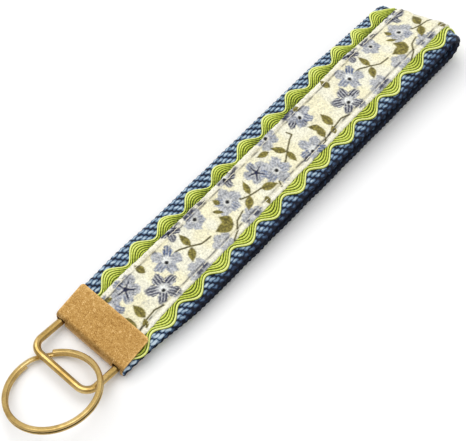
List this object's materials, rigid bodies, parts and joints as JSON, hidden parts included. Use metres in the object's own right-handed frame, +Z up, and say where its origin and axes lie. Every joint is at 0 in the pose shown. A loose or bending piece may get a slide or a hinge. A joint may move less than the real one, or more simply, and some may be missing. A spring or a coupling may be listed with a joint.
{
  "type": "wristlet keychain",
  "caption": "Webbing hand loop with rick-rack trim and a printed cotton strip, held in a folded brass clamp with a wire bail and a split key ring.",
  "frame": {"origin": "bottom centre of the bounding box, on the surface the wristlet lies on", "axes": "+Y from the split ring to the fold of the loop, +X across the strap, +Z up"},
  "size_m": [0.0316, 0.1948, 0.0148],
  "materials": {
    "clamp_brass": "fine sandblasted antique brass",
    "wire_brass": "satin",
    "ring_brass": "satin",
    "webbing": "coarse two-tone twill",
    "printed_cotton": "plain weave with a floral print",
    "rickrack": "braided",
    "thread": "spun"
  },
  "bodies": {
    "fob": {"clamp": "clamp_brass", "webbing_strap": "webbing", "fabric_strip": "printed_cotton", "rickrack_left": "rickrack", "rickrack_right": "rickrack", "needle_thread_left": "thread", "needle_thread_right": "thread", "bobbin_thread_left": "thread", "bobbin_thread_right": "thread"},
    "bail": {"bail_wire": "wire_brass"},
    "ring": {"split_ring": "ring_brass"}
  },
  "joints": [
    {"name": "bail_swing", "type": "hinge", "parent": "fob", "child": "bail", "pos_m": [-0.00225, -0.06271, 0.00235], "axis": [-1, 0, 0], "range_deg": [-30, 11]},
    {"name": "ring_swing", "type": "hinge", "parent": "bail", "child": "ring", "pos_m": [-0.00225, -0.07654, 0.00454], "axis": [-1, 0, 0], "range_deg": [-108, 7]}
  ]
}
